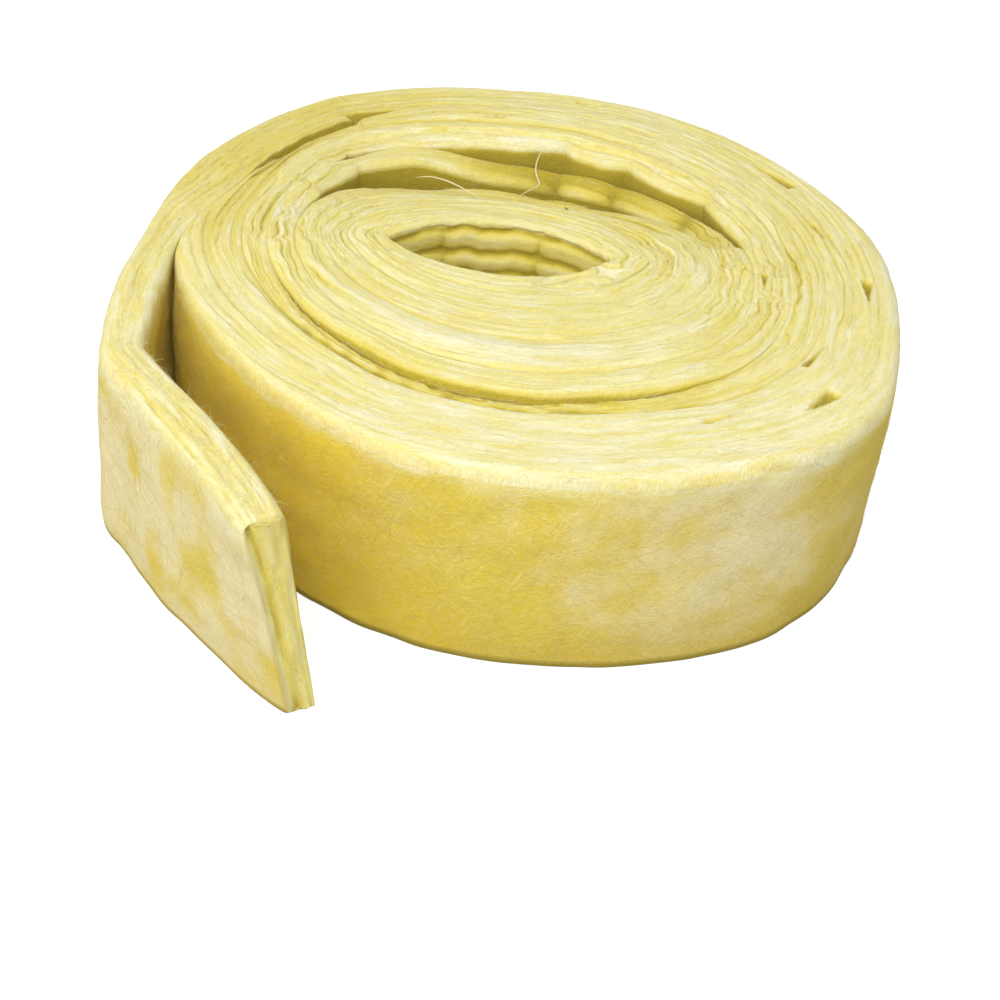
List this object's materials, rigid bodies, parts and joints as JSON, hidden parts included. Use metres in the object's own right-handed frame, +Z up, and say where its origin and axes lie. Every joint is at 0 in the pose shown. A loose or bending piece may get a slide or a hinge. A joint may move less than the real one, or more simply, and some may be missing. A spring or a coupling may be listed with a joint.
{
  "type": "roll of fiberglass pipe wrap",
  "caption": "Loose roll of yellow glass-wool pipe wrap lying on its end, with a lens-shaped eye, slack gaps between its turns and a free tail at the front.",
  "frame": {"origin": "centre of the footprint of the roll and its tail, on the surface it lies on", "axes": "+Z up along the winding axis, +Y towards the back, away from the tail's free end, +X to the right of the tail"},
  "size_m": [0.2766, 0.331, 0.076],
  "materials": {
    "glass_wool": "matt fibrous wool, pale yellow with cream and deep yellow streaks"
  },
  "bodies": {
    "root": {"wool_roll": "glass_wool"}
  },
  "joints": []
}
